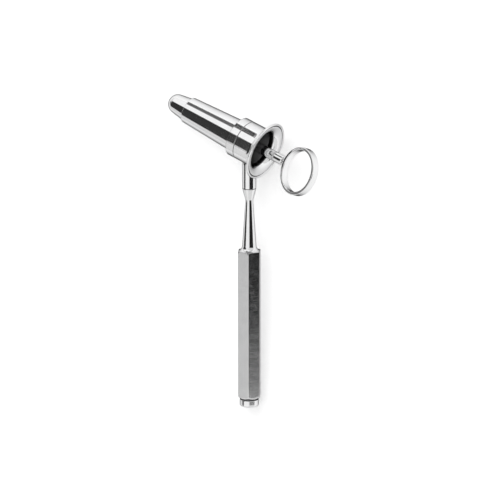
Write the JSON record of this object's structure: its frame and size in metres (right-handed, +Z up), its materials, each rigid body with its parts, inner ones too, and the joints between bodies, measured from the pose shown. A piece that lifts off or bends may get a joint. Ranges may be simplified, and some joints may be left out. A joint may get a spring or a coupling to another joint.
{
  "type": "anal speculum",
  "caption": "Tubular anal speculum with a bell mouth, a slim six-sided handle and a round-nosed obturator that draws out by its finger ring.",
  "frame": {"origin": "middle of the footprint, on the table that the instrument lies on", "axes": "+Z up from the table, +Y along the handle towards the bell, +X towards the finger ring"},
  "size_m": [0.1234, 0.2139, 0.0427],
  "materials": {
    "bright_metal": "mirror polished plate",
    "handle_metal": "polished plate",
    "obturator_metal": "mirror polished plate"
  },
  "bodies": {
    "speculum": {"tube": "bright_metal", "front_ring": "bright_metal", "bell": "bright_metal", "handle_socket": "handle_metal", "handle_screw": "handle_metal", "handle": "handle_metal", "end_plug": "handle_metal"},
    "obturator": {"obturator_head": "obturator_metal", "obturator_rod": "obturator_metal", "finger_ring": "obturator_metal"}
  },
  "joints": [
    {"name": "obturator_slide", "type": "slide", "parent": "speculum", "child": "obturator", "axis": [0.9329, -0.3187, 0.168], "range_m": [0, 0.1]}
  ]
}
